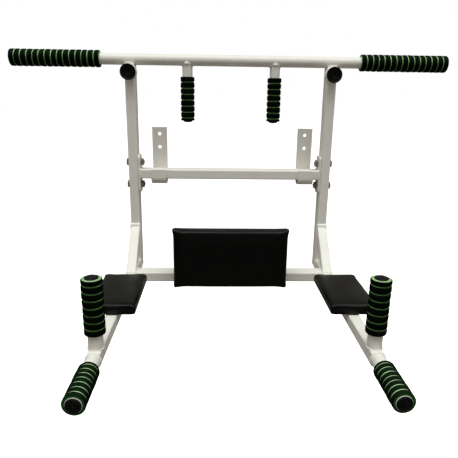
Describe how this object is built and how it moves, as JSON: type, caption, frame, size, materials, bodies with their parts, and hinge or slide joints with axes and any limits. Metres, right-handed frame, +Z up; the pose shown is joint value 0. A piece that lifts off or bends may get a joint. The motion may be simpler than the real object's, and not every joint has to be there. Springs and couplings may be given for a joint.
{
  "type": "wall-mounted pull-up bar",
  "caption": "Tube-frame pull-up and dip station that hangs on wall hooks, with neutral handles, a padded back rest, elbow pads, hand posts and dip handles.",
  "frame": {"origin": "on the wall, in the middle of the frame's width and halfway between the upper and lower screw holes of the hooks", "axes": "+X along the bar to the viewer's right, +Y into the wall so the user stands on the -Y side, +Z up"},
  "size_m": [1.1276, 0.6887, 0.587],
  "materials": {
    "powder_coat": "cream powder coat, semi-gloss",
    "foam": "matt ribbed foam rubber, green in the grooves",
    "black_plastic": "satin moulded plastic",
    "leatherette": "smooth black leatherette over foam",
    "plywood": "raw plywood",
    "dark_steel": "blackened steel"
  },
  "bodies": {
    "wall_hooks": {"wall_hook_left": "powder_coat", "wall_hook_right": "powder_coat"},
    "frame": {"hook_tube": "powder_coat", "side_plate_left": "powder_coat", "side_plate_right": "powder_coat", "plate_bolt_left_upper": "dark_steel", "plate_bolt_left_lower": "dark_steel", "plate_bolt_right_upper": "dark_steel", "plate_bolt_right_lower": "dark_steel", "plate_nut_left_upper": "dark_steel", "plate_nut_left_lower": "dark_steel", "plate_nut_right_upper": "dark_steel", "plate_nut_right_lower": "dark_steel", "upright_left": "powder_coat", "upright_right": "powder_coat", "pull_up_bar": "powder_coat", "bar_grip_left": "foam", "bar_grip_right": "foam", "bar_plug_left": "black_plastic", "bar_plug_right": "black_plastic", "neutral_handle_left": "powder_coat", "neutral_handle_right": "powder_coat", "neutral_grip_left": "foam", "neutral_grip_right": "foam", "neutral_plug_left": "black_plastic", "neutral_plug_right": "black_plastic", "front_stub_left": "powder_coat", "front_stub_right": "powder_coat", "front_stub_plug_left": "black_plastic", "front_stub_plug_right": "black_plastic", "lower_cross_tube": "powder_coat", "brace_left": "powder_coat", "brace_right": "powder_coat", "arm_left": "powder_coat", "arm_right": "powder_coat", "post_left": "powder_coat", "post_right": "powder_coat", "post_grip_left": "foam", "post_grip_right": "foam", "post_plug_left": "black_plastic", "post_plug_right": "black_plastic", "dip_handle_left": "powder_coat", "dip_handle_right": "powder_coat", "dip_grip_left": "foam", "dip_grip_right": "foam", "dip_plug_left": "black_plastic", "dip_plug_right": "black_plastic", "back_pad_cushion": "leatherette", "back_pad_board": "plywood", "back_pad_bracket": "powder_coat", "back_pad_screw_left": "dark_steel", "back_pad_screw_right": "dark_steel", "elbow_pad_cushion_left": "leatherette", "elbow_pad_cushion_right": "leatherette", "elbow_pad_board_left": "plywood", "elbow_pad_board_right": "plywood", "elbow_pad_screw_left_front": "dark_steel", "elbow_pad_screw_left_back": "dark_steel", "elbow_pad_screw_right_front": "dark_steel", "elbow_pad_screw_right_back": "dark_steel"}
  },
  "joints": [
    {"name": "frame_lift_off", "type": "slide", "parent": "wall_hooks", "child": "frame", "axis": [0, 0, 1], "range_m": [0, 0.06]}
  ]
}
